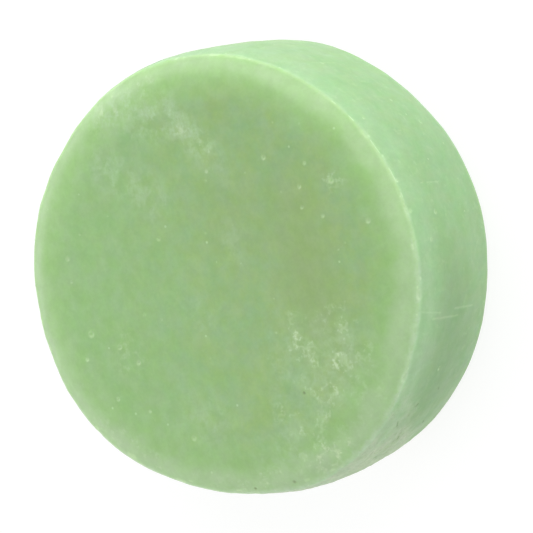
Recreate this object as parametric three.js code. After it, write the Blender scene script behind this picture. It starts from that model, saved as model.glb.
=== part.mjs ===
// Shaving soap puck: one cast block of soap, a short disc that lies on its back face.
// Millimetres, +Z up along the disc's axis. The origin is the centre of the back face.

import * as THREE from "three";

// Driving dimensions
const PUCK_DIAMETER = 68; // at the middle of the rim, where it is widest
const PUCK_THICKNESS = 25; // from the back face to the flat middle of the lather face
const RIM_BULGE = 0.5; // how far the rim's middle stands out past its two ends
const BACK_EDGE_RADIUS = 4; // large round that the mould's floor leaves
const LATHER_EDGE_RADIUS = 1; // small round between the lather face and the rim
const LATHER_BEVEL_WIDTH = 7.5; // soft band round the lather face, inside that small round
const LATHER_BEVEL_FALL = 1.4; // how far the band has dropped where it reaches the round

// How finely the curves are cut
const TURN_SEGMENTS = 96; // round the disc
const BACK_ROUND_STEPS = 5;
const RIM_STEPS = 6;
const LATHER_ROUND_STEPS = 3;
const BEVEL_STEPS = 6;

// Sage green, waxy and slightly glossy
const SOAP_COLOUR = 0xa3cc8f;
const SOAP_ROUGHNESS = 0.5;

const QUARTER_TURN = Math.PI / 2;

// `steps` + 1 points at even steps along a curve, where curve(0) is its start and curve(1) its end.
function along(steps, curve) {
  return Array.from({ length: steps + 1 }, (_, step) => curve(step / steps));
}

// Points on a round of the given centre and radius, from one angle to another; angle 0 points outwards.
function round(centreRadius, centreHeight, radius, fromAngle, toAngle, steps) {
  return along(steps, (share) => {
    const angle = fromAngle + (toAngle - fromAngle) * share;
    return new THREE.Vector2(
      centreRadius + radius * Math.cos(angle),
      centreHeight + radius * Math.sin(angle),
    );
  });
}

// Half section of the puck, x outwards and y up the axis, from the axis at the back face round the rim
// to the axis at the lather face. Each stretch meets the next one without a corner.
function puckSection() {
  const rimEndRadius = PUCK_DIAMETER / 2 - RIM_BULGE;
  const bevelEndHeight = PUCK_THICKNESS - LATHER_BEVEL_FALL;

  // The rim is a shallow parabola, so it leans by this angle at its two ends.
  const rimHalfHeight = (bevelEndHeight - LATHER_EDGE_RADIUS - BACK_EDGE_RADIUS) / 2;
  const rimLean = Math.atan((2 * RIM_BULGE) / rimHalfHeight);
  // The bevel is a parabola too, level at its inner end and this steep at the edge.
  const bevelSlope = Math.atan((2 * LATHER_BEVEL_FALL) / LATHER_BEVEL_WIDTH);

  const backRound = round(
    rimEndRadius - BACK_EDGE_RADIUS * Math.cos(rimLean),
    BACK_EDGE_RADIUS,
    BACK_EDGE_RADIUS,
    -QUARTER_TURN,
    -rimLean,
    BACK_ROUND_STEPS,
  );
  const latherRound = round(
    rimEndRadius - LATHER_EDGE_RADIUS * Math.cos(rimLean),
    bevelEndHeight - LATHER_EDGE_RADIUS * Math.cos(bevelSlope),
    LATHER_EDGE_RADIUS,
    rimLean,
    QUARTER_TURN - bevelSlope,
    LATHER_ROUND_STEPS,
  );

  const rimLow = backRound.at(-1).y;
  const rimHigh = latherRound[0].y;
  const rim = along(RIM_STEPS, (share) => {
    const fromMiddle = 2 * share - 1;
    return new THREE.Vector2(
      PUCK_DIAMETER / 2 - RIM_BULGE * fromMiddle ** 2,
      rimLow + (rimHigh - rimLow) * share,
    );
  });

  const flatRadius = latherRound.at(-1).x - LATHER_BEVEL_WIDTH;
  const bevel = along(BEVEL_STEPS, (share) => {
    const outwards = 1 - share;
    return new THREE.Vector2(
      flatRadius + LATHER_BEVEL_WIDTH * outwards,
      PUCK_THICKNESS - LATHER_BEVEL_FALL * outwards ** 2,
    );
  });

  return [
    new THREE.Vector2(0, 0),
    ...backRound,
    ...rim.slice(1, -1),
    ...latherRound,
    ...bevel.slice(1),
    new THREE.Vector2(0, PUCK_THICKNESS),
  ];
}

function soapPuck() {
  const geometry = new THREE.LatheGeometry(puckSection(), TURN_SEGMENTS);
  geometry.rotateX(QUARTER_TURN); // the lathe turns about Y, and the puck's axis is Z
  const soap = new THREE.MeshStandardMaterial({
    color: SOAP_COLOUR,
    roughness: SOAP_ROUGHNESS,
    metalness: 0,
  });
  const puck = new THREE.Mesh(geometry, soap);
  puck.name = "soap_puck";
  return puck;
}

const group = new THREE.Group();
group.add(soapPuck());

export default group;
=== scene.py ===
# Looks of the shaving soap puck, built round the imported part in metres, +Z up, back face on the floor.
import math
import random
from typing import NamedTuple

import bmesh
import bpy
import numpy as np
from mathutils import Matrix, Vector, kdtree, noise


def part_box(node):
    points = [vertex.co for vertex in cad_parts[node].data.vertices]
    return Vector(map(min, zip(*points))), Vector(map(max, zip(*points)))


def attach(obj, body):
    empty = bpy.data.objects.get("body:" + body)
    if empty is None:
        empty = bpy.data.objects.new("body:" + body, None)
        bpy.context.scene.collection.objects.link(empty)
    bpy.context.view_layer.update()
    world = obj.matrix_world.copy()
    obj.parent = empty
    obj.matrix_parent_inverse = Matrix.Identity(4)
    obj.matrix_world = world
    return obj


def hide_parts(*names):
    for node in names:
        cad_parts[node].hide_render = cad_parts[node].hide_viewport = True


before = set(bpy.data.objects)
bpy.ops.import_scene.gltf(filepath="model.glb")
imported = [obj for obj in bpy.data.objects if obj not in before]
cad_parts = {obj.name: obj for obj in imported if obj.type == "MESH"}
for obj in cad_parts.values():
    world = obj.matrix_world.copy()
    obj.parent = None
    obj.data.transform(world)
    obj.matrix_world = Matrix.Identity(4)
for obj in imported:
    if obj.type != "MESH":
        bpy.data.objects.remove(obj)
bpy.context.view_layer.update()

MM = 0.001

# Sizes, in millimetres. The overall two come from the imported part, and the rest repeat its section.
PUCK_LOW, PUCK_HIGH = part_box("soap_puck")
PUCK_RADIUS = (PUCK_HIGH.x - PUCK_LOW.x) / 2 / MM
PUCK_THICKNESS = (PUCK_HIGH.z - PUCK_LOW.z) / MM
RIM_BULGE = 0.5
BACK_EDGE_RADIUS = 4.0
LATHER_EDGE_RADIUS = 1.0
LATHER_BEVEL_WIDTH = 7.5
LATHER_BEVEL_FALL = 1.4

# How far the cast outline is from a true circle: (waves per turn, height, direction of one crest)
OUTLINE_WAVES = (
    (1, 0.12, 116),
    (2, 0.43, -85),
    (3, 0.28, -22),
    (4, 0.22, 20),
    (5, 0.14, -18),
)
OUTLINE_GROWTH = 0.18  # makes up for what is worn off the crest
BACK_FACE_SHIFT = (0.0, -0.34)  # the rim leans a little, so the back face sits off the axis

# Distances between neighbouring vertices, before the mesh is cut up finer round the marks
FACE_SPACING = 0.46
EDGE_SPACING = 0.2
RIM_SPACING = 0.5
BACK_SPACING = 1.2
RIM_COLUMNS = 480
HALVING_RADII = (16.0, 8.0, 4.0, 2.0)  # inside each of these a ring has half as many vertices
COARSE_BACK_RADIUS = 26.0  # inside this one the back face has half as many again

# Gentle unevenness of the whole surface: (height, size across, where it is taken from in the noise)
SURFACE_RIPPLES = (
    (0.20, 12.0, 84.0),
    (0.06, 3.8, 26.6),
    (0.022, 1.5, 10.5),
)
# How much is worn off the crest, and its ripples, given in the same way
CREST_WEAR = 0.24
CREST_WEAR_REACH = 2.6
CREST_WEAR_RIPPLES = (
    (0.09, 4.0, 3.0),
    (0.03, 1.0, 5.0),
)
# The crest is worn most, and over the widest band, in one direction
ROUNDER_CREST = -42.0
ROUNDER_SPREAD = (0.5, 1.0)  # cosines of the turn from that direction at which this starts and is full
ROUNDER_WEAR = 0.16
ROUNDER_REACH = 0.9
# How much is worn off the round at the back, and how far up the section from the back face
BACK_WEAR = 0.10
BACK_WEAR_RIPPLE = (0.22, 6.0, 9.0)
BACK_WEAR_REACH = 2.6
BACK_WEAR_HEIGHT = 3.2
# Broad dents in the rim, or swellings where the depth is negative:
# (direction, height, half length round, half height, depth)
RIM_DENTS = (
    (-3.0, 12.0, 9.0, 8.0, 0.24),
    (-150.0, 4.0, 8.0, 7.0, 0.30),
    (-121.0, 6.0, 8.0, 8.0, -0.20),
    (-172.0, 17.0, 6.0, 6.0, -0.16),
    (47.0, 14.0, 9.0, 7.0, 0.20),
    (110.0, 9.0, 7.0, 8.0, 0.22),
)

# ---- Marks on the soap ----
# Directions are in degrees round the axis from +X, and places on the face are (x, y).
# Whitish bloom on the lather face: (x, y, half length, half width, direction of its length, strength)
FACE_BLOOM = (
    (-15.0, -14.5, 8.0, 5.6, 80, 0.50),
    (-17.0, -16.5, 3.6, 2.6, 60, 0.20),
    (-12.5, -19.5, 5.0, 2.4, 20, 0.50),
    (-21.5, -12.0, 5.0, 4.0, 90, 0.45),
    (-10.0, -11.0, 3.6, 2.2, 10, 0.40),
    (-28.0, -9.0, 4.6, 3.0, 110, 0.65),
    (-23.0, -6.0, 3.4, 2.2, 10, 0.45),
    (-24.5, -18.5, 5.0, 2.2, 130, 0.45),
    (21.5, -2.5, 6.5, 1.8, 32, 0.40),
    (28.5, 10.5, 4.2, 3.2, 110, 0.45),
    (30.5, 3.5, 3.0, 1.8, 95, 0.50),
    (-21.5, 22.5, 8.5, 2.2, 45, 0.50),
    (-30.8, 4.0, 8.5, 2.0, 90, 0.75),
    (-29.5, -11.5, 4.0, 1.6, 110, 0.7),
    (9.0, -24.0, 2.6, 1.8, 80, 0.5),
    (-7.0, 19.0, 4.4, 2.8, 30, 0.30),
)
# Thin cloudy film on the lather face, given in the same way
FACE_HAZE = (
    (22.0, -2.5, 8.5, 3.0, 32, 0.80),
    (26.0, 4.5, 5.4, 4.0, 60, 0.80),
    (19.5, 12.5, 5.0, 3.6, 40, 0.70),
    (14.5, 7.0, 4.4, 3.4, 20, 0.55),
    (29.0, 10.0, 5.0, 3.0, 110, 0.95),
    (4.5, -5.0, 4.2, 3.0, 0, 0.35),
    (-4.0, 4.0, 5.5, 3.5, 30, 0.30),
    (-16.0, -14.0, 9.5, 7.0, 80, 0.45),
    (-27.0, -6.0, 7.0, 4.0, 100, 0.50),
    (-20.0, 8.0, 7.0, 5.0, 70, 0.40),
)
# Slightly darker, more olive soap on the lather face, given in the same way
FACE_OLIVE = (
    (-2.0, -16.0, 15.0, 5.5, 0, 0.9),
    (8.0, -6.0, 8.0, 6.0, 0, 0.35),
)
# Bubbles that show on the lather face: (x, y, radius)
FACE_BUBBLES = (
    (8.0, 7.5, 0.34),
    (9.0, -24.0, 0.42),
    (4.5, -21.0, 0.30),
    (6.5, -18.0, 0.26),
    (12.5, -20.5, 0.28),
    (9.5, -18.5, 0.30),
    (15.0, -14.0, 0.34),
    (-3.0, 24.0, 0.46),
    (-6.5, 26.0, 0.30),
    (-13.5, 22.5, 0.32),
    (9.0, 24.5, 0.36),
    (-22.0, 11.0, 0.40),
    (-16.5, 17.5, 0.24),
    (-9.0, 17.0, 0.34),
    (-6.0, 19.5, 0.36),
    (2.0, -28.0, 0.34),
    (15.5, -4.0, 0.26),
)
# Bubbles on the rim: (direction, height, radius)
RIM_BUBBLES = (
    (-88.9, 16.8, 0.36),
    (-95.0, 19.6, 0.28),
    (-128.9, 14.5, 0.36),
    (-87.0, 22.4, 0.30),
    (-79.0, 22.6, 0.26),
    (-61.0, 21.0, 0.28),
    (-58.0, 11.0, 0.24),
    (-66.0, 8.5, 0.30),
    (-40.0, 15.0, 0.26),
)
# Chalky flecks on the crest: (direction, way from the crest, length, radius). The way from the crest is
# down the section, and it is negative on the lather face.
CREST_FLECKS = (
    (88.0, -0.5, 0.5, 0.20),
    (95.0, -0.6, 0.8, 0.24),
    (103.0, -0.3, 0.4, 0.18),
    (120.0, -0.8, 0.5, 0.20),
    (132.0, -1.0, 1.3, 0.34),
    (136.0, -0.4, 0.5, 0.20),
    (148.0, -0.6, 1.5, 0.24),
    (152.0, -1.1, 0.6, 0.18),
    (167.0, -0.7, 0.9, 0.20),
    (-171.0, -1.0, 0.7, 0.22),
    (-163.0, -0.6, 0.5, 0.18),
    (-96.0, -0.5, 0.5, 0.22),
    (-83.0, 0.3, 0.5, 0.16),
    (-79.0, 0.3, 2.0, 0.18),
    (-71.0, 0.3, 2.4, 0.13),
    (-60.5, 0.1, 1.0, 0.14),
    (-54.0, 0.0, 0.5, 0.17),
)
# Scratches on the rim: (direction and height at one end, direction and height at the other, half width)
RIM_SCRATCHES = (
    (-112.0, 22.8, -113.5, 17.5, 0.11),
    (-114.5, 19.6, -115.5, 12.3, 0.15),
    (-113.4, 13.5, -114.2, 7.8, 0.17),
    (-81.2, 17.8, -82.0, 13.0, 0.11),
    (-38.5, 17.5, -41.0, 12.0, 0.09),
    (12.0, 20.0, 15.0, 9.0, 0.14),
    (64.0, 18.5, 60.0, 11.5, 0.13),
    (118.0, 21.0, 119.5, 6.5, 0.15),
    (121.0, 16.0, 121.4, 8.0, 0.12),
)
# Scratches on the back face, from one (x, y) to another, and the half width
BACK_SCRATCHES = (
    (-17.0, 6.0, -2.0, 10.5, 0.14),
    (-12.0, 3.5, 1.0, 8.0, 0.12),
    (6.0, -18.0, 19.0, -11.0, 0.13),
    (-20.0, -12.0, -15.0, -20.0, 0.12),
)
# Short grooves in the gritty stretch of rim: (direction, height, way round, way up, radius)
RIM_GROOVES = (
    (-144.4, 19.2, 0.9, 0.7, 0.20),
    (-139.0, 17.0, 0.4, -0.3, 0.18),
    (-150.5, 15.5, 0.6, 0.2, 0.18),
    (-155.0, 19.8, 1.0, 0.4, 0.20),
    (-160.5, 16.5, 0.3, -0.5, 0.20),
    (-147.5, 9.5, 0.5, 0.4, 0.17),
    (-166.0, 13.0, 0.8, -0.2, 0.18),
    (-135.5, 12.0, 0.2, 0.3, 0.16),
    (-169.5, 19.0, 0.7, 0.4, 0.18),
)
# Dark specks on the lather face: (x, y, radius)
DARK_SPECKS = (
    (-19.5, -9.8, 0.22),
    (-31.9, -3.2, 0.26),
    (-31.6, 3.9, 0.22),
)
# Darker, more olive patches on the rim. The first two are painted shade, where the rim faces away from the
# key light. (direction, height, half length round, half height, strength)
RIM_SHADE = (
    (-129.0, 12.5, 12.0, 7.5, 1.0),
    (-108.0, 14.0, 7.0, 4.5, 0.55),
    (72.0, 8.0, 11.0, 5.0, 0.6),
    (150.0, 13.0, 9.0, 6.0, 0.5),
)
PATCH_REACH = 1.5  # where the soft edge of a patch ends, in half lengths and half widths

# The dull, gritty stretch of rim. Its width and its fading are in degrees round the axis.
GRIT_DIRECTION = -167.0
GRIT_HALF_WIDTH = 22.0
GRIT_NARROWING = 0.8  # for each millimetre down from the place where it has that half width
GRIT_WIDTH_PLACE = 8.0  # that place's way from the crest
GRIT_FADE_OUT = 15.0  # it ends this far outside its half width
GRIT_FADE_IN = 14.0  # and it is full this far inside
GRIT_FAR_SIDE = 0.66  # a degree counts for less on the side away from -Y, so it fades more slowly there
GRIT_WANDER = (  # how its sides wander: (degrees, size across)
    (11, 6.0),
    (6, 1.8),
)
GRIT_TOP = (-0.2, 1.0)  # ways from the crest where it starts and is full
GRIT_FOOT = (0.5, 6.0)  # how far above the back face it ends, and where it is still full

RANDOM_SEED = 41
RANDOM_BUBBLES = (("face", 24), ("rim", 30), ("back", 20))
SMALLEST_BUBBLE = 0.11
BUBBLE_GROWTH = 0.15  # how much larger the largest random bubble is
BUBBLE_FACE_RADIUS = 30.0  # random bubbles on the face keep inside this radius
BACK_SHARE = 0.93  # and those on the back inside this share of it
RIM_MARGINS = (1.6, 2.0)  # how far random bubbles on the rim keep from the crest and from the back face
EDGE_CRUMBS = 44  # little loose grains along the worn crest
CRUMB_PLACE = (0.15, 0.3)  # middle and spread of their ways from the crest
CRUMB_RADII = (0.14, 0.24)
CRUMB_HEIGHTS = (0.02, 0.06)
CREST_STEP = 0.15  # between the points of a mark along the crest
BACK_STEP = 0.2  # and along the back edge

# How deep each kind of mark is, how high its lip is, and how much paler or darker than the soap
BUBBLE_DEPTH = 0.5  # in radii
BUBBLE_LIP = 0.06  # in radii
FACE_BUBBLE_PALE = 0.55
RIM_BUBBLE_PALE = 0.45
RANDOM_BUBBLE_PALE = (0.1, 0.4)  # least and most
CRUMB_PALE = 0.4
SCRATCH = {"depth": 0.04, "lip": 0.010, "pale": 0.22}
BACK_SCRATCH = {"depth": 0.05, "pale": 0.6}
FLECK = {"depth": -0.03, "pale": 0.42}
GROOVE = {"depth": 0.09, "lip": 0.02, "dark": 0.32}
DARK_SPECK = {"depth": 0.08, "dark": 0.5}
SCRATCH_STEP = 0.16  # between the points of a straight mark

# The crust that stands up where the bloom is: its height, and its ripples, given as in SURFACE_RIPPLES
CRUST_HEIGHT = 0.11
CRUST_RIPPLES = (
    (1.0, 1.1, 2.0),
    (0.5, 0.55, 4.0),
)
# The roughness of the gritty stretch, given in the same way
GRIT_RIPPLES = (
    (0.07, 1.9, 6.0),
    (0.07, 0.8, 8.0),
)
FAINTEST = 0.01  # a weaker bloom or grit leaves the surface as it is
FACE_LAYERS_END = 0.5  # bloom, haze and olive soap end this far down from the crest
MARK_FADE = (1.5, 0.5)  # in radii: where a mark's colour ends, and inside which it is full
BACK_FACE_TOP = 0.02  # what is lower than this belongs to the back face
BACK_CLEARANCE = 0.03  # how far the back face is drawn in, so that it rests on its highest places

# The mesh is cut up finer from this much grit or bloom, and this far past the reach of a mark, or inside
# it where the margin is negative
FINE_GRIT = 0.3
FINE_BLOOM = 0.55
FINE_MARGIN = -0.05


def srgb(red, green, blue):
    """A screen colour, 0 to 255 each, as the linear colour that shaders use."""
    def linear(value):
        share = value / 255
        return share / 12.92 if share <= 0.04045 else ((share + 0.055) / 1.055) ** 2.4
    return (linear(red), linear(green), linear(blue), 1.0)


def smooth_step(low, high, value):
    share = min(max((value - low) / (high - low), 0.0), 1.0)
    return share * share * (3 - 2 * share)


def hump(distance, reach):
    """One at no distance, falling smoothly to nothing at the reach."""
    share = min(abs(distance) / reach, 1.0)
    return (1 - share * share) ** 2


# ---- Plain shape ----
def spaced(length, spacing):
    """Even shares from 0 to 1, as many as the spacing needs along that length."""
    steps = max(1, math.ceil(length / spacing))
    return [step / steps for step in range(steps + 1)]


def puck_section():
    """The half section, and between which of its points the small round at the crest lies.

    The section is a list of (radius, height), from the centre of the lather face round to that of the back.
    """
    rim_end = PUCK_RADIUS - RIM_BULGE
    bevel_end = PUCK_THICKNESS - LATHER_BEVEL_FALL
    half_height = (bevel_end - LATHER_EDGE_RADIUS - BACK_EDGE_RADIUS) / 2
    lean = math.atan(2 * RIM_BULGE / half_height)
    slope = math.atan(2 * LATHER_BEVEL_FALL / LATHER_BEVEL_WIDTH)

    edge_centre = (rim_end - LATHER_EDGE_RADIUS * math.cos(lean),
                   bevel_end - LATHER_EDGE_RADIUS * math.cos(slope))
    back_centre = (rim_end - BACK_EDGE_RADIUS * math.cos(lean), BACK_EDGE_RADIUS)
    edge_start = math.pi / 2 - slope
    flat_radius = edge_centre[0] + LATHER_EDGE_RADIUS * math.cos(edge_start) - LATHER_BEVEL_WIDTH
    rim_top = edge_centre[1] + LATHER_EDGE_RADIUS * math.sin(lean)
    rim_foot = back_centre[1] - BACK_EDGE_RADIUS * math.sin(lean)

    section = [(flat_radius * share, PUCK_THICKNESS) for share in spaced(flat_radius, FACE_SPACING)]
    for share in spaced(LATHER_BEVEL_WIDTH, FACE_SPACING)[1:]:
        section.append((flat_radius + LATHER_BEVEL_WIDTH * share,
                        PUCK_THICKNESS - LATHER_BEVEL_FALL * share ** 2))
    edge_first = len(section) - 1
    for share in spaced(LATHER_EDGE_RADIUS * (edge_start - lean), EDGE_SPACING)[1:]:
        angle = edge_start + (lean - edge_start) * share
        section.append((edge_centre[0] + LATHER_EDGE_RADIUS * math.cos(angle),
                        edge_centre[1] + LATHER_EDGE_RADIUS * math.sin(angle)))
    edge_last = len(section) - 1
    for share in spaced(rim_top - rim_foot, RIM_SPACING)[1:]:
        section.append((PUCK_RADIUS - RIM_BULGE * (2 * share - 1) ** 2,
                        rim_top + (rim_foot - rim_top) * share))
    for share in spaced(BACK_EDGE_RADIUS * (math.pi / 2 - lean), RIM_SPACING)[1:]:
        angle = -lean + (lean - math.pi / 2) * share
        section.append((back_centre[0] + BACK_EDGE_RADIUS * math.cos(angle),
                        back_centre[1] + BACK_EDGE_RADIUS * math.sin(angle)))
    for share in spaced(back_centre[0], BACK_SPACING)[1:]:
        section.append((back_centre[0] * (1 - share), 0.0))
    return section, edge_first, edge_last


SECTION, EDGE_FIRST, EDGE_LAST = puck_section()
SECTION_RADII = np.array([radius for radius, _ in SECTION])
SECTION_HEIGHTS = np.array([height for _, height in SECTION])
SECTION_STEPS = np.hypot(np.diff(SECTION_RADII), np.diff(SECTION_HEIGHTS))
SECTION_LENGTHS = np.concatenate(([0.0], np.cumsum(SECTION_STEPS)))
FROM_CREST = SECTION_LENGTHS - (SECTION_LENGTHS[EDGE_FIRST] + SECTION_LENGTHS[EDGE_LAST]) / 2
RIM_LENGTH = float(np.interp(0.0, -SECTION_HEIGHTS, FROM_CREST))  # from the crest down to the back face
BACK_WEAR_PLACE = RIM_LENGTH - BACK_WEAR_HEIGHT  # from the crest down to where the back edge is worn

EDGE_NICKS = 9  # in each of these rows:
# (way from the crest, step, shortest and longest, least and largest radius, least and largest depth, pale)
NICK_ROWS = (
    (0.1, CREST_STEP, (0.3, 1.6), (0.35, 0.6), (0.05, 0.13), 0.25),
    (BACK_WEAR_PLACE, BACK_STEP, (0.4, 2.2), (0.4, 0.8), (0.06, 0.14), 0.3),
)


def outline_factor(angle):
    """How much wider than a true circle the outline is in a direction, as a factor."""
    rise = sum(height * math.cos(waves * (angle - math.radians(facing)))
               for waves, height, facing in OUTLINE_WAVES)
    return 1 + (OUTLINE_GROWTH + rise) / PUCK_RADIUS


def shell_point(radius, height, angle):
    """A place on the puck with the uneven outline and the leaning rim, but without its marks."""
    share_down = 1 - height / PUCK_THICKNESS
    reach = radius * outline_factor(angle)
    return Vector((
        reach * math.cos(angle) + BACK_FACE_SHIFT[0] * share_down,
        reach * math.sin(angle) + BACK_FACE_SHIFT[1] * share_down,
        height,
    ))


def surface_point(from_crest, angle):
    """A place that far down the section from the crest; the lather face is on the negative side."""
    radius = float(np.interp(from_crest, FROM_CREST, SECTION_RADII))
    height = float(np.interp(from_crest, FROM_CREST, SECTION_HEIGHTS))
    return shell_point(radius, height, angle)


def on_face(x, y):
    angle = math.atan2(y, x)
    radius = math.hypot(x, y) / outline_factor(angle)
    from_crest = np.interp(radius, SECTION_RADII[:EDGE_FIRST + 1], FROM_CREST[:EDGE_FIRST + 1])
    return surface_point(float(from_crest), angle)


def on_rim(facing, height):
    from_crest = float(np.interp(-height, -SECTION_HEIGHTS[EDGE_FIRST:], FROM_CREST[EDGE_FIRST:]))
    return surface_point(from_crest, math.radians(facing))


def on_back(x, y):
    return Vector((x + BACK_FACE_SHIFT[0], y + BACK_FACE_SHIFT[1], 0.0))


def columns_at(radius, height):
    """How many vertices a ring of that radius has."""
    halvings = sum(radius < limit for limit in HALVING_RADII)
    if height == 0.0 and radius < COARSE_BACK_RADIUS:
        halvings += 1
    return RIM_COLUMNS >> halvings


def join_rings(mesh, upper, lower):
    """Faces between two rings, where one may have twice as many vertices as the other."""
    fewer, more = sorted((upper, lower), key=len)
    count = len(fewer)
    flip = fewer is lower
    faces = []
    for column in range(count):
        here, there = fewer[column], fewer[(column + 1) % count]
        if len(more) == count:
            faces.append((here, more[column], more[(column + 1) % count], there))
        else:
            first, middle, last = (more[(2 * column + step) % len(more)] for step in range(3))
            faces += [(here, first, middle), (here, middle, there), (there, middle, last)]
    for face in faces:
        mesh.faces.new(reversed(face) if flip else face)


def plain_puck():
    """The puck without its marks, as a bmesh in millimetres that knows each vertex's way from the crest."""
    mesh = bmesh.new()
    from_crest = mesh.verts.layers.float.new("from_crest")
    rings = []
    for (radius, height), distance in zip(SECTION, FROM_CREST):
        count = 1 if radius < 1e-6 else columns_at(radius, height)
        angles = [math.tau * column / count for column in range(count)]
        ring = [mesh.verts.new(shell_point(radius, height, angle)) for angle in angles]
        for vertex in ring:
            vertex[from_crest] = float(distance)
        rings.append(ring)
    for upper, lower in zip(rings[1:], rings[2:-1]):
        join_rings(mesh, upper, lower)
    for column, vertex in enumerate(rings[1]):
        mesh.faces.new((rings[0][0], vertex, rings[1][(column + 1) % len(rings[1])]))
    for column, vertex in enumerate(rings[-2]):
        mesh.faces.new((rings[-1][0], rings[-2][(column + 1) % len(rings[-2])], vertex))
    return mesh


# ---- Marks ----
class Mark:
    """A pit, a grain or a scratch.

    It has points along it, a radius, a depth that is negative where it stands up, the height of its lip, and
    how much paler or darker than the soap it is, 0 to 1.
    """

    LIP_CENTRE = 1.2  # in radii
    LIP_REACH = 0.55

    def __init__(self, points, radius, depth, lip=0.0, pale=0.0, dark=0.0):
        self.points = points
        self.radius = radius
        self.depth = depth
        self.lip = lip
        self.pale = pale
        self.dark = dark

    def relief(self, share):
        """Its height at a distance from its middle, given in radii."""
        rise = -self.depth * hump(share, 1.0)
        if self.lip:
            rise += self.lip * hump(share - self.LIP_CENTRE, self.LIP_REACH)
        return rise


def bubble(place, radius, pale):
    return Mark([place], radius, BUBBLE_DEPTH * radius, lip=BUBBLE_LIP * radius, pale=pale)


def line_of_points(start, end, place):
    """Points on the surface between two ends, each given by the two numbers that `place` takes."""
    length = (place(*end) - place(*start)).length
    return [place(start[0] + (end[0] - start[0]) * share, start[1] + (end[1] - start[1]) * share)
            for share in spaced(length, SCRATCH_STEP)]


def arc_of_points(from_crest, angle, length, step):
    """Points on the surface that run round the axis from an angle."""
    return [surface_point(from_crest, angle + shift / PUCK_RADIUS) for shift in np.arange(0, length, step)]


def placed_marks():
    """The marks that have a place of their own in the tables."""
    marks = [bubble(on_face(x, y), radius, FACE_BUBBLE_PALE) for x, y, radius in FACE_BUBBLES]
    for facing, height, radius in RIM_BUBBLES:
        marks.append(bubble(on_rim(facing, height), radius, RIM_BUBBLE_PALE))
    for facing, height, end_facing, end_height, width in RIM_SCRATCHES:
        points = line_of_points((facing, height), (end_facing, end_height), on_rim)
        marks.append(Mark(points, width, **SCRATCH))
    for facing, away, length, radius in CREST_FLECKS:
        points = arc_of_points(away, math.radians(facing), length, CREST_STEP)
        marks.append(Mark(points, radius, **FLECK))
    for x, y, end_x, end_y, width in BACK_SCRATCHES:
        points = line_of_points((x, y), (end_x, end_y), on_back)
        marks.append(Mark(points, width, **BACK_SCRATCH))
    for facing, height, way_round, way_up, radius in RIM_GROOVES:
        turn = math.degrees(way_round / PUCK_RADIUS)
        points = line_of_points((facing, height), (facing + turn, height + way_up), on_rim)
        marks.append(Mark(points, radius, **GROOVE))
    marks += [Mark([on_face(x, y)], radius, **DARK_SPECK) for x, y, radius in DARK_SPECKS]
    return marks


def random_place(side, chance):
    if side == "rim":
        from_crest = chance.uniform(RIM_MARGINS[0], RIM_LENGTH - RIM_MARGINS[1])
        return surface_point(from_crest, chance.uniform(0, math.tau))
    angle = chance.uniform(0, math.tau)
    radius = BUBBLE_FACE_RADIUS * math.sqrt(chance.random())
    x, y = radius * math.cos(angle), radius * math.sin(angle)
    return on_face(x, y) if side == "face" else on_back(BACK_SHARE * x, BACK_SHARE * y)


def random_marks():
    """Small bubbles all over, and crumbs and nicks along the crest and the back edge."""
    chance = random.Random(RANDOM_SEED)
    marks = []
    for side, count in RANDOM_BUBBLES:
        for _ in range(count):
            radius = SMALLEST_BUBBLE + BUBBLE_GROWTH * chance.random() ** 2
            place = random_place(side, chance)
            marks.append(bubble(place, radius, chance.uniform(*RANDOM_BUBBLE_PALE)))
    for _ in range(EDGE_CRUMBS):
        place = surface_point(chance.gauss(*CRUMB_PLACE), chance.uniform(0, math.tau))
        radius = chance.uniform(*CRUMB_RADII)
        marks.append(Mark([place], radius, -chance.uniform(*CRUMB_HEIGHTS), pale=CRUMB_PALE))
    for from_crest, step, lengths, radii, depths, pale in NICK_ROWS:
        for _ in range(EDGE_NICKS):
            angle = chance.uniform(0, math.tau)
            points = arc_of_points(from_crest, angle, chance.uniform(*lengths), step)
            marks.append(Mark(points, chance.uniform(*radii), chance.uniform(*depths), pale=pale))
    return marks


class MarkFinder:
    """Finds the marks that reach a place on the surface."""

    REACH = 1.75  # in radii, out to the far side of a mark's lip

    def __init__(self, marks):
        self.owners = [mark for mark in marks for _ in mark.points]
        self.widest = max(mark.radius for mark in marks) * self.REACH
        self.tree = kdtree.KDTree(len(self.owners))
        for index, point in enumerate(point for mark in marks for point in mark.points):
            self.tree.insert(point, index)
        self.tree.balance()

    def near(self, place, margin=0.0):
        """(mark, distance in radii) for each mark near the place."""
        nearest = {}
        for _, index, distance in self.tree.find_range(place, self.widest + margin):
            mark = self.owners[index]
            if distance <= mark.radius * self.REACH + margin:
                nearest[mark] = min(distance / mark.radius, nearest.get(mark, distance / mark.radius))
        return nearest.items()


def refine(mesh, wanted, cuts):
    """Cut up every face that has a vertex the test wants."""
    chosen = {vertex for vertex in mesh.verts if wanted(vertex)}
    edges = {edge for vertex in chosen for face in vertex.link_faces for edge in face.edges}
    in_order = sorted(edges, key=lambda edge: edge.index)
    bmesh.ops.subdivide_edges(mesh, edges=in_order, cuts=cuts, use_grid_fill=True)
    mesh.verts.index_update()
    mesh.edges.index_update()


def patches_at(place, patches):
    """How strongly a set of soft oval patches on the lather face covers a place, 0 to 1."""
    total = 0.0
    for x, y, length, width, facing, strength in patches:
        turn = math.radians(facing)
        away_x, away_y = place.x - x, place.y - y
        along = (away_x * math.cos(turn) + away_y * math.sin(turn)) / length
        across = (away_y * math.cos(turn) - away_x * math.sin(turn)) / width
        total += strength * hump(math.hypot(along, across), PATCH_REACH)
    return min(total, 1.0)


def turn_from(facing, place):
    """How far round the axis a place is from a direction, from -180 to 180 degrees."""
    turn = math.degrees(math.atan2(place.y, place.x)) - facing
    return (turn + 180) % 360 - 180


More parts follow.
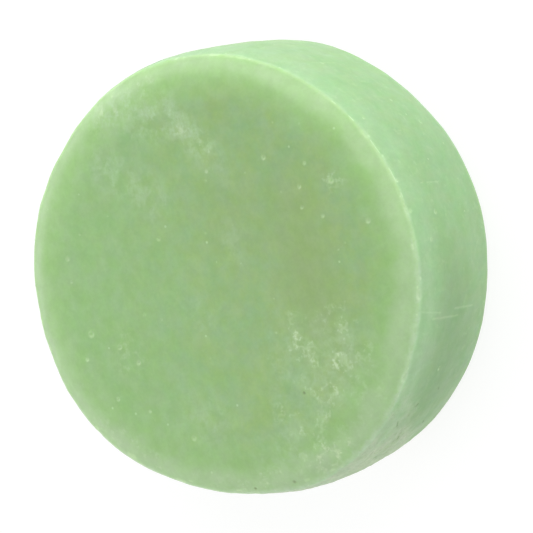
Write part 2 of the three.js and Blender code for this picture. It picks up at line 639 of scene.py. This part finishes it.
def rim_patch(place, facing, height, length, half_height):
    """How strongly a soft oval patch on the rim covers a place, 0 to 1."""
    around = math.radians(turn_from(facing, place)) * PUCK_RADIUS / length
    return hump(math.hypot(around, (place.z - height) / half_height), PATCH_REACH)


def grit_at(place, from_crest):
    """How gritty the rim is here, 0 to 1."""
    turn = turn_from(GRIT_DIRECTION, place)
    turn = turn if turn > 0 else -GRIT_FAR_SIDE * turn
    turn += sum(amount * noise.noise(place / size) for amount, size in GRIT_WANDER)
    turn += GRIT_NARROWING * (from_crest - GRIT_WIDTH_PLACE)
    top = smooth_step(*GRIT_TOP, from_crest)
    foot = smooth_step(*GRIT_FOOT, RIM_LENGTH - from_crest)
    return smooth_step(GRIT_HALF_WIDTH + GRIT_FADE_OUT, GRIT_HALF_WIDTH - GRIT_FADE_IN, turn) * top * foot


def ripple(place, size, offset):
    """Smooth noise from about -1 to 1, with bumps that size across."""
    return noise.noise(place / size + Vector((offset, 1.7 * offset, -offset)))


def ripples(place, rows):
    """The sum of several ripples, each given as in SURFACE_RIPPLES."""
    return sum(height * ripple(place, size, offset) for height, size, offset in rows)


def unevenness(place, from_crest):
    """Height of the surface over the plain shape, without its marks."""
    rise = ripples(place, SURFACE_RIPPLES)
    turn = math.radians(turn_from(ROUNDER_CREST, place))
    rounder = smooth_step(*ROUNDER_SPREAD, math.cos(turn))
    wear = CREST_WEAR + ROUNDER_WEAR * rounder + ripples(place, CREST_WEAR_RIPPLES)
    rise -= max(wear, 0.0) * hump(from_crest, CREST_WEAR_REACH + ROUNDER_REACH * rounder)
    if from_crest > 0:
        rise -= sum(depth * rim_patch(place, *patch) for *patch, depth in RIM_DENTS)
    back_wear = BACK_WEAR + ripples(place, [BACK_WEAR_RIPPLE])
    rise -= max(back_wear, 0.0) * hump(from_crest - BACK_WEAR_PLACE, BACK_WEAR_REACH)
    return rise


# What each vertex tells the material, besides its way from the crest
STORED = ("bloom", "haze", "olive", "shade", "grit", "pale", "dark")


def coverings(place, from_crest):
    """How strongly bloom, haze, olive soap, shade and grit each cover a place, 0 to 1."""
    cover = dict.fromkeys(("bloom", "haze", "olive", "shade", "grit"), 0.0)
    if from_crest < FACE_LAYERS_END:
        cover["bloom"] = patches_at(place, FACE_BLOOM)
        cover["haze"] = patches_at(place, FACE_HAZE)
        cover["olive"] = patches_at(place, FACE_OLIVE)
    if 0 < from_crest < RIM_LENGTH:
        shade = sum(strength * rim_patch(place, *patch) for *patch, strength in RIM_SHADE)
        cover["shade"] = min(shade, 1.0)
    if GRIT_TOP[0] < from_crest < RIM_LENGTH:
        cover["grit"] = grit_at(place, from_crest)
    return cover


def set_marks(mesh, finder):
    """Move each vertex in or out along its normal, and store what the material needs to know there."""
    layers = {name: mesh.verts.layers.float.new(name) for name in STORED}
    from_crest_layer = mesh.verts.layers.float["from_crest"]
    moves = []
    for vertex in mesh.verts:
        place = vertex.co
        from_crest = vertex[from_crest_layer]
        told = coverings(place, from_crest) | {"pale": 0.0, "dark": 0.0}
        rise = unevenness(place, from_crest)
        if told["bloom"] > FAINTEST:
            rise += told["bloom"] * CRUST_HEIGHT * max(ripples(place, CRUST_RIPPLES), 0.0)
        if told["grit"] > FAINTEST:
            rise += told["grit"] * ripples(place, GRIT_RIPPLES)
        for mark, share in finder.near(place):
            rise += mark.relief(share)
            fade = smooth_step(*MARK_FADE, share)
            told["pale"] = max(told["pale"], mark.pale * fade)
            told["dark"] = max(told["dark"], mark.dark * fade)
        if place.z < BACK_FACE_TOP:
            rise = min(rise - BACK_CLEARANCE, 0.0)
        for name in STORED:
            vertex[layers[name]] = told[name]
        moves.append(vertex.normal * rise)
    for vertex, move in zip(mesh.verts, moves):
        vertex.co += move
        vertex.co.z = max(vertex.co.z, 0.0)


def build_puck():
    mesh = plain_puck()
    finder = MarkFinder(placed_marks() + random_marks())
    from_crest = mesh.verts.layers.float["from_crest"]
    mesh.verts.index_update()
    mesh.edges.index_update()

    def rough(vertex):
        if vertex[from_crest] < 0:
            return patches_at(vertex.co, FACE_BLOOM) > FINE_BLOOM
        return vertex[from_crest] < RIM_LENGTH and grit_at(vertex.co, vertex[from_crest]) > FINE_GRIT

    refine(mesh, rough, 1)
    refine(mesh, lambda vertex: any(finder.near(vertex.co, FINE_MARGIN)), 2)
    many_sided = [face for face in mesh.faces if len(face.verts) > 4]
    bmesh.ops.triangulate(mesh, faces=many_sided, ngon_method="BEAUTY")
    mesh.normal_update()
    set_marks(mesh, finder)
    mesh.transform(Matrix.Scale(MM, 4))
    data = bpy.data.meshes.new("soap_block")
    mesh.to_mesh(data)
    mesh.free()
    data.polygons.foreach_set("use_smooth", [True] * len(data.polygons))
    block = bpy.data.objects.new("soap_block", data)
    bpy.context.scene.collection.objects.link(block)
    return block


# ---- Material ----
class Pattern(NamedTuple):
    """Noise that is cut off where it is low and where it is high."""

    size: float  # across its bumps, in millimetres
    detail: float
    roughness: float
    low: float  # the noise, 0 to 1, at which the pattern starts
    high: float  # and at which it is full
    floor: float = 0.0  # its value where the noise is low
    top: float = 1.0  # and where it is high
    offset: tuple = None  # where it is taken from in the noise, so that patterns of like size differ
    stretch: tuple = (1.0, 1.0, 1.0)


# In the soap itself
CLOUDS = Pattern(6.0, 4.0, 0.6, 0.32, 0.68)
BLOTCHES = Pattern(2.2, 4.0, 0.65, 0.32, 0.68, offset=(0.3, 0.1, 0.2))
STREAKS = Pattern(1.1, 3.0, 0.6, 0.3, 0.7, offset=(0.0, 0.0, 0.0), stretch=(1.0, 1.0, 0.12))
CHALK = Pattern(1.5, 4.0, 0.7, 0.55, 0.72, offset=(0.7, 0.3, 0.5))
BROAD_TONE = Pattern(1.9, 4.0, 0.65, 0.3, 0.7, 0.96, 1.04, offset=(0.9, 0.1, 0.6))
FINE_TONE = Pattern(0.45, 3.0, 0.6, 0.3, 0.7, 0.985, 1.015)
SATURATION = Pattern(3.4, 4.0, 0.6, 0.3, 0.7, 0.93, 1.07, offset=(0.2, 0.8, 0.4))
# Along the crest
BROKEN_LINE = Pattern(1.6, 3.0, 0.65, 0.40, 0.62, 0.4, 1.0, offset=(0.1, 0.4, 0.0))
# In the haze and the bloom
BLOTS = Pattern(2.0, 5.0, 0.62, 0.40, 0.62, offset=(0.4, 0.6, 0.2))
WISPS = Pattern(0.9, 4.0, 0.65, 0.44, 0.62, offset=(0.1, 0.9, 0.3), stretch=(1.0, 1.6, 1.0))
CRUST = Pattern(2.3, 3.0, 0.6, 0.49, 0.59, offset=(0.2, 0.0, 0.1))
CRUMBS = Pattern(0.75, 3.0, 0.65, 0.50, 0.64)
FILM = Pattern(3.0, 4.0, 0.6, 0.3, 0.7)
# In the gritty stretch of rim
DUST = Pattern(3.2, 5.0, 0.65, 0.25, 0.65)
GRAINS = Pattern(0.55, 4.0, 0.75, 0.36, 0.66)
PORES = Pattern(0.6, 3.0, 0.7, 0.54, 0.70, offset=(0.5, 0.2, 0.1))
# Gloss
RUBBED = Pattern(5.0, 4.0, 0.6, 0.35, 0.65, 0.44, 0.57)

# Where the bands along the crest start and are full. The wide band, the near band and the rim top are
# painted glow, standing in for light that comes through the thin soap at its edge, and they are also drier
# soap. These are ways from the crest in millimetres, and the first of each pair of ramps lies towards the
# face.
FACE_TO_RIM = (-0.5, 0.6)
WIDE_BAND = ((-8.5, -2.6), (1.0, -0.6))
NEAR_BAND = ((-4.3, -0.9), (1.4, -0.6))
RIM_TOP = ((-0.2, 0.3), (7.5, 0.6))
CREST_LINE = ((-1.1, -0.2), (0.9, 0.0))
WORN_SKIN = ((-1.8, -0.3), (2.2, 0.5))
BACK_ROUND = ((RIM_LENGTH - 6.0, RIM_LENGTH - 2.0), (RIM_LENGTH + 3.0, RIM_LENGTH))
WORN_AND_SHADED_SIDE = (0.014, -0.022)  # in metres along X: the crest is more worn and chalky towards -X, and it is painted paler there, away from the key light, than where that light falls
LIT_MINT_SIDE = (-0.012, 0.026)  # in metres along Y: the face is painted lighter and a cooler green towards +Y, standing in for more light falling on that side

VEIN_CELLS = 1.7  # size of the cells between the veins of the bloom, in millimetres
VEIN_EDGE = (0.20, 0.02)  # where a vein starts and is full, in shares of a cell
VEIN_WARP = (1.4, 1.3)  # size of the noise that bends the veins, and how far it does
SPECK_CELLS = 4.2  # how far apart the smallest specks are, in millimetres
SPECK_EDGE = (0.060, 0.030)
BAND_WANDER = (6.0, 2.0, 3.0)  # of the bands' inner sides: size, detail, and how far from side to side
LINE_WANDER = (1.6, 3.0, 1.4)  # of the thin line on the crest
WORN_WIDENING = 1.3  # how much further in the bands reach on the worn side, where they are also painted paler away from the key light
FRESH_NARROWING = 0.8  # how much further in the near band ends on the other side

# How strongly each layer covers what is under it, 0 to 1
FACE_MIX = (0.5, 0.5)  # of clouds and blotches
RIM_MIX = (0.35, 0.35, 0.3)  # of clouds, blotches and streaks
LIT_MINT_COVER = 0.7
CHALK_COVER = 0.3
SHADE_COVER = 0.42
WIDE_BAND_COVER = 0.85
NEAR_BAND_COVER = 0.9
RIM_TOP_COVER = 0.30
RIM_TOP_MORE = 0.20  # on the worn side, away from the key light, where it is also painted paler
BACK_ROUND_COVER = 0.3
LINE_COVER = 0.17
LINE_MORE = 0.33  # on the worn side, away from the key light, where it is also painted paler
HAZE_COVER = (0.12, 0.55, 0.35)  # everywhere, in the blots, and in their wisps
FILM_COVER = 0.22
VEIN_COVER = 0.45
CRUMB_COVER = 0.75
BLOOM_MOST = 0.9
DUST_COVER = (0.22, 0.34, 0.36)  # everywhere, in the dust, and in the grains
DUST_START = 0.15  # the grit at which the rim starts to turn grey
PORE_COVER = 0.38
SPECK_COVER = 0.35
PALE_COVER = 0.75
DARK_COVER = 0.8

FACE_YELLOW = srgb(150, 180, 115)
FACE_BLUE = srgb(141, 177, 128)
# painted light: the lighter green that the face turns towards +Y
FACE_LIT_MINT = srgb(148, 189, 127)
FACE_OLIVE_TINT = srgb(145, 172, 113)
RIM_MINT = srgb(134, 176, 126)
RIM_OLIVE = srgb(144, 176, 124)
# painted shade in part: the darker green of the rim patches
RIM_SHADE_GREEN = srgb(116, 148, 104)
BACK_GREEN = srgb(122, 166, 108)
# The band colours are painted glow at the edge as well as drier soap; the palest is also the rim's chalk
BAND_YELLOW_GLOW = srgb(153, 192, 127)
PALE_GLOW_AND_CHALK = srgb(169, 199, 151)
RIM_PALE_GLOW = srgb(168, 203, 162)
CREST_PALE_HIGHLIGHT = srgb(188, 208, 184)
HAZE_PALE = srgb(171, 200, 158)
BLOOM_PALE = srgb(196, 217, 178)
GRIT_GREY = srgb(184, 198, 168)
GROOVE_DARK = srgb(112, 130, 100)
SPECK_PALE = srgb(206, 230, 186)
SPECK_DARK = srgb(92, 92, 60)

# How much each makes the soap duller
GRIT_DULLNESS = 0.32
BLOOM_DULLNESS = 0.24
WEAR_DULLNESS = 0.22
PALE_DULLNESS = 0.2
DULLEST = 0.95

# The finest grain: (size, detail, roughness) of its noise, and how much of it there is
SKIN_GRAIN = (0.9, 4.0, 0.6)
SKIN_HEIGHT = 0.35
CHALK_GRAIN = (0.35, 3.0, 0.7)
CHALK_HEIGHT = 0.8
CHALK_MIX = (1.0, 0.6, 0.12)  # in the grit, in the bloom, and everywhere
BUMP_STRENGTH = 0.45
BUMP_HEIGHT = 0.05 * MM

SOAP_IOR = 1.47
SCATTERING = 0.8
SCATTERING_REACH = (0.95, 1.1, 0.85)  # of red, green and blue, as shares of the scale below
SCATTERING_SCALE = 3 * MM


class Nodes:
    """Adds nodes to a tree. Any input may be a plain value or the output of another node."""

    def __init__(self, tree, coordinates):
        self.tree = tree
        self.place = self.add("ShaderNodeTexCoord", {}, output=coordinates)

    def set(self, socket, source):
        if isinstance(source, bpy.types.NodeSocket):
            self.tree.links.new(source, socket)
        else:
            socket.default_value = source

    def add(self, kind, inputs, output=0, **settings):
        node = self.tree.nodes.new(kind)
        for name, setting in settings.items():
            setattr(node, name, setting)
        for name, source in inputs.items():
            self.set(node.inputs[name], source)
        return node.outputs[output]

    def stored(self, name):
        """What the mesh stores under that name."""
        return self.add("ShaderNodeAttribute", {}, output="Fac", attribute_name=name)

    def along_axis(self, axis):
        return self.add("ShaderNodeSeparateXYZ", {"Vector": self.place}, output=axis)

    def math(self, operation, first, second=0.0):
        return self.add("ShaderNodeMath", {0: first, 1: second}, operation=operation)

    def add_up(self, *terms):
        total = terms[0]
        for term in terms[1:]:
            total = self.math("ADD", total, term)
        return total

    def times(self, *factors):
        total = factors[0]
        for factor in factors[1:]:
            total = self.math("MULTIPLY", total, factor)
        return total

    def weighed(self, weights, *terms):
        return self.add_up(*(self.times(term, weight) for term, weight in zip(terms, weights)))

    def step(self, low, high, value, floor=0.0, top=1.0):
        """From `floor` where the value is low to `top` where it is high, smoothly."""
        inputs = {"Value": value, "From Min": low, "From Max": high, "To Min": floor, "To Max": top}
        return self.add("ShaderNodeMapRange", inputs, interpolation_type="SMOOTHSTEP")

    def band(self, ramps, rising, falling):
        """One between two ramps: the first is along `rising`, and the second along `falling`."""
        return self.times(self.step(*ramps[0], rising), self.step(*ramps[1], falling))

    def noise(self, size, detail, roughness=0.5, vector=None):
        """Noise from 0 to 1 with bumps about that many millimetres across."""
        inputs = {"Vector": vector or self.place, "Scale": 1 / (size * MM), "Detail": detail,
                  "Roughness": roughness}
        return self.add("ShaderNodeTexNoise", inputs)

    def wander(self, size, detail, amount):
        """Noise about zero, from one end to the other of that amount."""
        return self.times(self.math("SUBTRACT", self.noise(size, detail), 0.5), amount)

    def pattern(self, chosen):
        moved = None
        if chosen.offset:
            inputs = {"Vector": self.place, "Location": chosen.offset, "Scale": chosen.stretch}
            moved = self.add("ShaderNodeMapping", inputs)
        value = self.noise(chosen.size, chosen.detail, chosen.roughness, moved)
        return self.step(chosen.low, chosen.high, value, chosen.floor, chosen.top)

    def cells(self, size, feature, vector=None):
        """Distance in a pattern of cells: to each one's middle, or to its edge."""
        inputs = {"Vector": vector or self.place, "Scale": 1 / (size * MM)}
        return self.add("ShaderNodeTexVoronoi", inputs, output="Distance", feature=feature)

    def mix(self, share, first, second):
        return self.add("ShaderNodeMix", {0: share, 6: first, 7: second}, output=2, data_type="RGBA")

    def warped(self, size, amount):
        """The place, pushed about by noise."""
        inputs = {"Vector": self.place, "Scale": 1 / (size * MM), "Detail": 1.0}
        push = self.add("ShaderNodeTexNoise", inputs, output="Color")
        centred = self.add("ShaderNodeVectorMath", {0: push, 1: (0.5, 0.5, 0.5)}, operation="SUBTRACT")
        scaled = self.add("ShaderNodeVectorMath", {0: centred, "Scale": amount * MM}, operation="SCALE")
        return self.add("ShaderNodeVectorMath", {0: self.place, 1: scaled}, operation="ADD")


def clean_soap(nodes, from_crest):
    """The colour of the face and the rim, cloudy and streaky, without any wear. It has painted light on the
    face towards +Y and painted shade on the rim away from the key light.
    """
    clouds = nodes.pattern(CLOUDS)
    blotches = nodes.pattern(BLOTCHES)
    face = nodes.mix(nodes.weighed(FACE_MIX, clouds, blotches), FACE_YELLOW, FACE_BLUE)
    # painted light: lighter and a cooler green towards +Y, as if more light fell on that side
    face = nodes.mix(nodes.step(*LIT_MINT_SIDE, nodes.along_axis("Y"), 0.0, LIT_MINT_COVER), face, FACE_LIT_MINT)
    face = nodes.mix(nodes.stored("olive"), face, FACE_OLIVE_TINT)

    rim_share = nodes.weighed(RIM_MIX, clouds, blotches, nodes.pattern(STREAKS))
    rim = nodes.mix(rim_share, RIM_OLIVE, RIM_MINT)
    rim = nodes.mix(nodes.times(nodes.pattern(CHALK), CHALK_COVER), rim, PALE_GLOW_AND_CHALK)
    colour = nodes.mix(nodes.step(*FACE_TO_RIM, from_crest), face, rim)
    # painted shade: the rim patches darken where the rim faces away from the key light, and elsewhere give
    # darker, more olive soap
    return nodes.mix(nodes.times(nodes.stored("shade"), SHADE_COVER), colour, RIM_SHADE_GREEN)


def worn_edges(nodes, colour, from_crest):
    """Paler bands along the crest, a thin broken line on it, and a deeper green round the back edge. The
    bands are painted glow of light through the thin edge as well as drier soap, and the line is partly a
    painted highlight.
    """
    # painted light: the pale bands and the crest line grow towards -X, away from the key light, and shrink
    # where that light falls, besides following the wear
    worn_and_shaded_side = nodes.step(*WORN_AND_SHADED_SIDE, nodes.along_axis("X"))
    inner = nodes.add_up(from_crest, nodes.wander(*BAND_WANDER), nodes.times(worn_and_shaded_side, WORN_WIDENING))
    # painted glow: the edge is paler, standing in for light coming through the thin soap, and it is also
    # drier
    wide = nodes.times(nodes.band(WIDE_BAND, inner, from_crest), WIDE_BAND_COVER)
    colour = nodes.mix(wide, colour, BAND_YELLOW_GLOW)
    fresh_and_lit_side = nodes.math("SUBTRACT", 1.0, worn_and_shaded_side)
    outer = nodes.add_up(from_crest, nodes.times(fresh_and_lit_side, FRESH_NARROWING))
    near = nodes.times(nodes.band(NEAR_BAND, inner, outer), NEAR_BAND_COVER)
    colour = nodes.mix(near, colour, PALE_GLOW_AND_CHALK)

    # painted glow on the top of the rim as well
    rim_top = nodes.band(RIM_TOP, from_crest, from_crest)
    rim_top_cover = nodes.add_up(RIM_TOP_COVER, nodes.times(worn_and_shaded_side, RIM_TOP_MORE))
    colour = nodes.mix(nodes.times(rim_top, rim_top_cover), colour, RIM_PALE_GLOW)
    back_round = nodes.band(BACK_ROUND, from_crest, from_crest)
    colour = nodes.mix(nodes.times(back_round, BACK_ROUND_COVER), colour, BACK_GREEN)

    # painted highlight: a thin broken pale line on the crest, partly standing in for light on its round and
    # partly chalky worn soap
    thin = nodes.add_up(from_crest, nodes.wander(*LINE_WANDER))
    line = nodes.times(nodes.band(CREST_LINE, thin, thin), nodes.pattern(BROKEN_LINE))
    line_cover = nodes.add_up(LINE_COVER, nodes.times(worn_and_shaded_side, LINE_MORE))
    return nodes.mix(nodes.times(line, line_cover), colour, CREST_PALE_HIGHLIGHT)


def haze_and_bloom(nodes, colour, bloom):
    """A thin cloudy film, and over it the veined and crumbly white crust."""
    blots = nodes.pattern(BLOTS)
    wisps = nodes.times(blots, nodes.pattern(WISPS))
    cloud = nodes.weighed(HAZE_COVER, 1.0, blots, wisps)
    colour = nodes.mix(nodes.times(nodes.stored("haze"), cloud), colour, HAZE_PALE)

    crust = nodes.pattern(CRUST)
    cell_edges = nodes.cells(VEIN_CELLS, "DISTANCE_TO_EDGE", nodes.warped(*VEIN_WARP))
    veins = nodes.times(nodes.step(*VEIN_EDGE, cell_edges), crust, VEIN_COVER)
    crumbs = nodes.times(nodes.pattern(CRUMBS), crust, CRUMB_COVER)
    film = nodes.times(bloom, nodes.pattern(FILM), FILM_COVER)
    cover = nodes.add_up(film, nodes.times(bloom, nodes.add_up(veins, crumbs)))
    return nodes.mix(nodes.math("MINIMUM", cover, BLOOM_MOST), colour, BLOOM_PALE)


def dusty_rim(nodes, colour, grit):
    """Grey dust and grains, with dark pores between them."""
    dust = nodes.weighed(DUST_COVER, 1.0, nodes.pattern(DUST), nodes.pattern(GRAINS))
    colour = nodes.mix(nodes.times(nodes.step(DUST_START, 1.0, grit), dust), colour, GRIT_GREY)
    return nodes.mix(nodes.times(grit, nodes.pattern(PORES), PORE_COVER), colour, GROOVE_DARK)


def marked_soap(nodes, colour, grit):
    """The smallest specks, and the colour of each pit, fleck, scratch and groove."""
    specks = nodes.step(*SPECK_EDGE, nodes.cells(SPECK_CELLS, "F1"))
    colour = nodes.mix(nodes.times(specks, SPECK_COVER), colour, SPECK_PALE)
    colour = nodes.mix(nodes.times(nodes.stored("pale"), PALE_COVER), colour, SPECK_PALE)
    dark = nodes.stored("dark")
    off_grit = nodes.step(1.0, 0.0, grit, 0.0, DARK_COVER)
    colour = nodes.mix(nodes.times(dark, off_grit), colour, SPECK_DARK)
    return nodes.mix(nodes.times(dark, grit, DARK_COVER), colour, GROOVE_DARK)


def soap_colour(nodes, from_crest, grit, bloom):
    colour = clean_soap(nodes, from_crest)
    colour = worn_edges(nodes, colour, from_crest)
    colour = haze_and_bloom(nodes, colour, bloom)
    colour = dusty_rim(nodes, colour, grit)
    colour = marked_soap(nodes, colour, grit)
    tone = nodes.times(nodes.pattern(BROAD_TONE), nodes.pattern(FINE_TONE))
    inputs = {"Saturation": nodes.pattern(SATURATION), "Value": tone, "Color": colour}
    return nodes.add("ShaderNodeHueSaturation", inputs)


def soap_roughness(nodes, from_crest, grit, bloom):
    """Rubbed soap is a little glossy, and worn, gritty, bloomed or marked soap is duller."""
    worn = nodes.band(WORN_SKIN, from_crest, from_crest)
    dullness = (GRIT_DULLNESS, BLOOM_DULLNESS, WEAR_DULLNESS, PALE_DULLNESS)
    dusty = nodes.weighed(dullness, grit, bloom, worn, nodes.stored("pale"))
    return nodes.math("MINIMUM", nodes.add_up(nodes.pattern(RUBBED), dusty), DULLEST)


def soap_bump(nodes, grit, bloom):
    """The finest grain, which is too small for the mesh."""
    chalky = nodes.weighed(CHALK_MIX, grit, bloom, 1.0)
    chalk = nodes.times(nodes.noise(*CHALK_GRAIN), chalky, CHALK_HEIGHT)
    height = nodes.add_up(nodes.times(nodes.noise(*SKIN_GRAIN), SKIN_HEIGHT), chalk)
    inputs = {"Height": height, "Strength": BUMP_STRENGTH, "Distance": BUMP_HEIGHT}
    return nodes.add("ShaderNodeBump", inputs)


def soap_material():
    material = bpy.data.materials.new("soap")
    material.use_nodes = True
    shader = material.node_tree.nodes["Principled BSDF"]
    nodes = Nodes(material.node_tree, "Object")
    from_crest = nodes.stored("from_crest")
    grit = nodes.stored("grit")
    bloom = nodes.stored("bloom")
    nodes.set(shader.inputs["Base Color"], soap_colour(nodes, from_crest, grit, bloom))
    nodes.set(shader.inputs["Roughness"], soap_roughness(nodes, from_crest, grit, bloom))
    nodes.set(shader.inputs["Normal"], soap_bump(nodes, grit, bloom))
    shader.inputs["IOR"].default_value = SOAP_IOR
    shader.inputs["Subsurface Weight"].default_value = SCATTERING
    shader.inputs["Subsurface Radius"].default_value = SCATTERING_REACH
    shader.inputs["Subsurface Scale"].default_value = SCATTERING_SCALE
    return material


# ---- Stage, light and camera ----
CAMERA_DISTANCE = 470 * MM
CAMERA_SENSOR = 36
CAMERA_LENS = 210.7
CAMERA_TILT = math.radians(32.4)  # between the line of sight and the puck's axis
CAMERA_ROLL = math.radians(-105.8)
CAMERA_AIM = (1.35 * MM, 0.07 * MM)  # right and up from the puck's centre

FLOOR_HALF = 2.0
FLOOR_GREY = (0.2, 0.2, 0.2, 1)
FLOOR_ROUGHNESS = 0.9
FLOOR_GLOSS = 0.1
FLOOR_GLOW = 0.84  # keeps the floor nearly white wherever it is seen from

SKY_OVERHEAD = 0.53
SKY_HORIZON = 1.04
SKY_FALL = 3.0  # how fast it changes from the horizon up
# Softboxes: (name, (direction round the axis, elevation) in degrees, distance, size, light they give)
SOFTBOXES = (
    ("key", (-20, 15), 1.3, 2.0, 1.55),
    ("side", (-68, 8), 1.0, 0.8, 0.30),
    ("fill", (102, 34), 1.3, 1.6, 0.46),
)


def add_camera():
    data = bpy.data.cameras.new("camera")
    data.sensor_width = CAMERA_SENSOR
    data.lens = CAMERA_LENS
    camera = bpy.data.objects.new("camera", data)
    back = Vector((0, -math.sin(CAMERA_TILT), math.cos(CAMERA_TILT)))
    level_right = Vector((1, 0, 0))
    level_up = back.cross(level_right)
    right = level_right * math.cos(CAMERA_ROLL) + level_up * math.sin(CAMERA_ROLL)
    up = back.cross(right)
    centre = (PUCK_LOW + PUCK_HIGH) / 2
    place = centre + right * CAMERA_AIM[0] + up * CAMERA_AIM[1] + back * CAMERA_DISTANCE
    camera.matrix_world = Matrix.Translation(place) @ Matrix((right, up, back)).transposed().to_4x4()
    bpy.context.scene.collection.objects.link(camera)
    bpy.context.scene.camera = camera


def add_floor():
    corners = [(FLOOR_HALF * x, FLOOR_HALF * y, 0) for x, y in ((-1, -1), (1, -1), (1, 1), (-1, 1))]
    data = bpy.data.meshes.new("floor")
    data.from_pydata(corners, [], [(0, 1, 2, 3)])
    floor = bpy.data.objects.new("floor", data)
    bpy.context.scene.collection.objects.link(floor)
    material = bpy.data.materials.new("floor")
    material.use_nodes = True
    shader = material.node_tree.nodes["Principled BSDF"]
    shader.inputs["Base Color"].default_value = FLOOR_GREY
    shader.inputs["Roughness"].default_value = FLOOR_ROUGHNESS
    shader.inputs["Specular IOR Level"].default_value = FLOOR_GLOSS
    shader.inputs["Emission Color"].default_value = (1, 1, 1, 1)
    shader.inputs["Emission Strength"].default_value = FLOOR_GLOW
    data.materials.append(material)


def add_area_light(name, facing, distance, size, irradiance):
    """A square softbox aimed at the puck, which gives a surface facing it about that much light.

    `facing` is its direction round the axis from +X and its elevation, in degrees.
    """
    data = bpy.data.lights.new(name, "AREA")
    data.shape = "SQUARE"
    data.size = size
    data.energy = irradiance * (math.pi * distance) ** 2
    light = bpy.data.objects.new(name, data)
    around, elevation = map(math.radians, facing)
    towards = Vector((math.cos(around) * math.cos(elevation), math.sin(around) * math.cos(elevation),
                      math.sin(elevation)))
    light.visible_camera = False
    light.location = (PUCK_LOW + PUCK_HIGH) / 2 + towards * distance
    light.rotation_mode = "QUATERNION"
    light.rotation_quaternion = towards.to_track_quat("Z", "Y")
    bpy.context.scene.collection.objects.link(light)


def add_world(overhead, horizon):
    """White light from all round, as strong as given overhead and at the horizon."""
    world = bpy.data.worlds.new("world")
    world.use_nodes = True
    background = world.node_tree.nodes["Background"]
    background.inputs["Color"].default_value = (1, 1, 1, 1)
    nodes = Nodes(world.node_tree, "Generated")
    rise = nodes.math("ABSOLUTE", nodes.along_axis("Z"))
    low = nodes.math("POWER", nodes.math("SUBTRACT", 1.0, rise), SKY_FALL)
    strength = nodes.add_up(nodes.times(low, horizon - overhead), overhead)
    nodes.set(background.inputs["Strength"], strength)
    bpy.context.scene.world = world


bpy.context.scene.view_settings.view_transform = "Standard"
add_floor()
add_world(SKY_OVERHEAD, SKY_HORIZON)
for softbox in SOFTBOXES:
    add_area_light(*softbox)
add_camera()

block = build_puck()
block.data.materials.append(soap_material())
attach(block, "root")
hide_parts("soap_puck")
